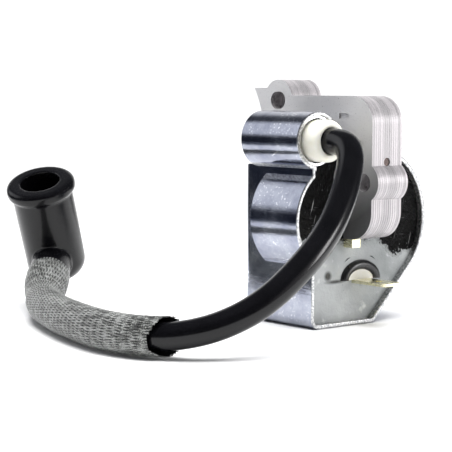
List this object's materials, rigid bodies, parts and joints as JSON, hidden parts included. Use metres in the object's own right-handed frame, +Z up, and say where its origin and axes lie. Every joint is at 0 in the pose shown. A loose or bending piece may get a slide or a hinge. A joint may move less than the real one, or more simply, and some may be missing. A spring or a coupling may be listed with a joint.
{
  "type": "ignition coil",
  "caption": "Potted ignition coil unit in a pressed steel can with a U-shaped laminated core, stop blade, sleeved high-tension lead and rubber elbow plug boot.",
  "frame": {"origin": "middle of the coil unit's bounding box, on the surface it stands on", "axes": "+X along the coil towards the can's open rim and the lead outlet, +Y along the lamination stack away from the outlet tube, +Z up"},
  "size_m": [0.1145, 0.1042, 0.063],
  "materials": {
    "can_steel": "bright zinc plate, scratched",
    "core_steel": "satin sheet edges",
    "black_epoxy": "glossy poured",
    "white_nylon": "semi-matt",
    "former_nylon": "matt",
    "copper_wire": "enamelled",
    "paper": "matt",
    "board": "satin",
    "component": "satin",
    "brass_plate": "bright",
    "lead_rubber": "glossy silicone",
    "braid": "woven glass fibre",
    "boot_rubber": "glossy moulded",
    "spring_steel": "bright"
  },
  "bodies": {
    "coil_unit": {"shield_can": "can_steel", "core_stack": "core_steel", "core_pin": "spring_steel", "primary_bobbin": "former_nylon", "primary_winding": "copper_wire", "layer_insulation": "paper", "secondary_bobbin": "former_nylon", "secondary_winding": "copper_wire", "circuit_board": "board", "charge_capacitor": "component", "switching_transistor": "component", "diode": "component", "resistor": "paper", "stop_terminal": "brass_plate", "terminal_insulator": "white_nylon", "stop_wire": "copper_wire", "earth_tag": "brass_plate", "tube_insulator": "spring_steel", "outlet_bushing": "white_nylon", "lead_root": "lead_rubber", "lead_spike": "brass_plate", "output_wire": "copper_wire", "potting_compound": "black_epoxy", "ht_lead": "lead_rubber", "lead_conductor": "copper_wire", "heat_sleeve": "braid"},
    "elbow_boot": {"plug_boot": "boot_rubber", "contact_spring": "spring_steel"}
  },
  "joints": [
    {"name": "boot_swivel", "type": "hinge", "parent": "coil_unit", "child": "elbow_boot", "pos_m": [-0.0535, -0.0535, 0.0078], "axis": [-0.7082, 0.6146, 0.3474], "range_deg": [-80, 80]}
  ]
}
